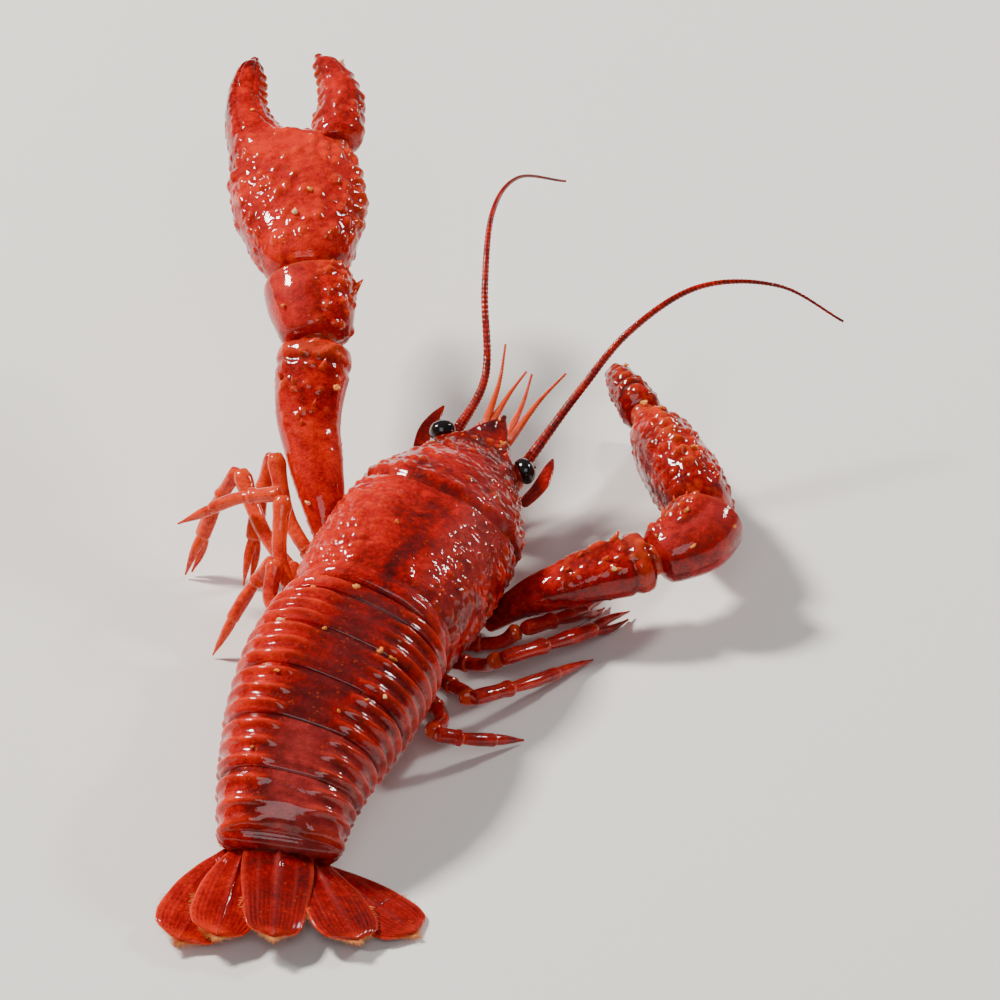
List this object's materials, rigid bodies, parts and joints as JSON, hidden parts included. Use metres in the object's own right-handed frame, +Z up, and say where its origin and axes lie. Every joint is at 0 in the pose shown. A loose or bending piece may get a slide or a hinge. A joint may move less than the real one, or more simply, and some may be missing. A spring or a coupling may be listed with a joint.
{
  "type": "cooked crayfish",
  "caption": "Whole boiled red crayfish lying on its belly, with long claws, stalked eyes, walking legs, a ringed tail and a spread tail fan",
  "frame": {"origin": "on the surface that it rests on, under the middle of its box", "axes": "+Y runs from the tail fan towards the head and the claws, +Z is up, +X is the animal's right side"},
  "size_m": [0.0758, 0.1328, 0.0333],
  "materials": {
    "shell": "glossy wet shell with fine bumps",
    "tail": "glossy wet shell",
    "tail_fan": "thin glossy shell",
    "claw": "glossy wet shell with raised bumps",
    "limb": "thin glossy shell",
    "eye_black": "very glossy"
  },
  "bodies": {
    "root": {"carapace": "shell", "somite_1": "tail", "somite_2": "tail", "somite_3": "tail", "somite_4": "tail", "somite_5": "tail", "somite_6": "tail", "telson": "tail_fan", "uropod_inner_L": "tail_fan", "uropod_inner_R": "tail_fan", "uropod_outer_L": "tail_fan", "uropod_outer_R": "tail_fan", "claw_arm_L": "claw", "claw_arm_R": "claw", "claw_wrist_L": "claw", "claw_wrist_R": "claw", "claw_palm_L": "claw", "claw_palm_R": "claw", "claw_finger_L": "claw", "claw_finger_R": "claw", "underside": "limb", "leg_L2_upper": "limb", "leg_L2_lower": "limb", "leg_L3_upper": "limb", "leg_L3_lower": "limb", "leg_L4_upper": "limb", "leg_L4_lower": "limb", "leg_L5_upper": "limb", "leg_L5_lower": "limb", "leg_R2_upper": "limb", "leg_R2_lower": "limb", "leg_R3_upper": "limb", "leg_R3_lower": "limb", "leg_R4_upper": "limb", "leg_R4_lower": "limb", "leg_R5_upper": "limb", "leg_R5_lower": "limb", "feeler_root_L": "limb", "feeler_root_R": "limb", "feeler_scale_L": "limb", "feeler_scale_R": "limb", "feeler_whip_L": "limb", "feeler_whip_R": "limb", "small_feeler_L": "limb", "small_feeler_R": "limb", "mouth_limb_L": "limb", "mouth_limb_R": "limb", "eye_L": "eye_black", "eye_R": "eye_black"}
  },
  "joints": []
}
